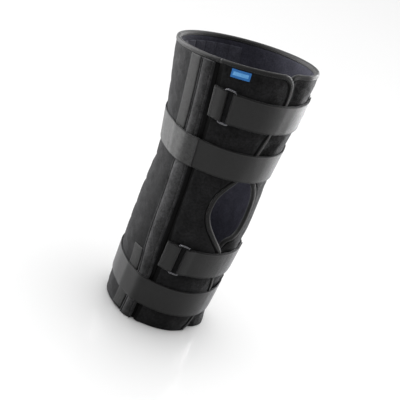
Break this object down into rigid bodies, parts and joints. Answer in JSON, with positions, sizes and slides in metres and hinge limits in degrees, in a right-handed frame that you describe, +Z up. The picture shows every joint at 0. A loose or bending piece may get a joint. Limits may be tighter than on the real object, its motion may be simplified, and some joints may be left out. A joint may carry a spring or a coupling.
{
  "type": "knee immobilizer",
  "caption": "Padded wrap-round knee splint with lapped front panels, kneecap opening, side stay sleeves and webbing straps through wire rings.",
  "frame": {"origin": "under the middle of the object's box, on the surface that its lower rim stands on", "axes": "+Z up along the leg towards the thigh end, -Y to the front of the leg where the panels lap and the kneecap opening is, +X to the side that the under panel comes from"},
  "size_m": [0.2028, 0.2066, 0.4287],
  "materials": {
    "loop_fabric": "black brushed loop fabric over foam",
    "binding_tape": "charcoal woven tape folded over the edge",
    "light_strip": "mid grey hook strip",
    "lining": "soft blue-black lining",
    "webbing": "charcoal flat webbing",
    "wire": "plated steel wire",
    "blue_tag": "plain sky blue woven tag"
  },
  "bodies": {
    "root": {"back_panel": "loop_fabric", "left_front_panel": "loop_fabric", "right_front_panel": "loop_fabric", "back_binding": "binding_tape", "left_binding": "binding_tape", "right_binding": "binding_tape", "left_stay_sleeve": "loop_fabric", "left_upper_strip": "light_strip", "left_lower_strip": "light_strip", "right_stay_sleeve": "loop_fabric", "right_upper_strip": "light_strip", "right_lower_strip": "light_strip", "back_pocket_1": "lining", "back_pocket_2": "lining", "back_pocket_3": "lining", "back_pocket_4": "lining", "back_pocket_5": "lining", "back_pocket_6": "lining", "strap_1": "webbing", "tab_1": "webbing", "ring_1": "wire", "strap_2": "webbing", "strap_2_end": "light_strip", "strap_3": "webbing", "tab_3": "webbing", "ring_3": "wire", "strap_4": "webbing", "strap_4_end": "webbing", "label": "blue_tag"}
  },
  "joints": []
}
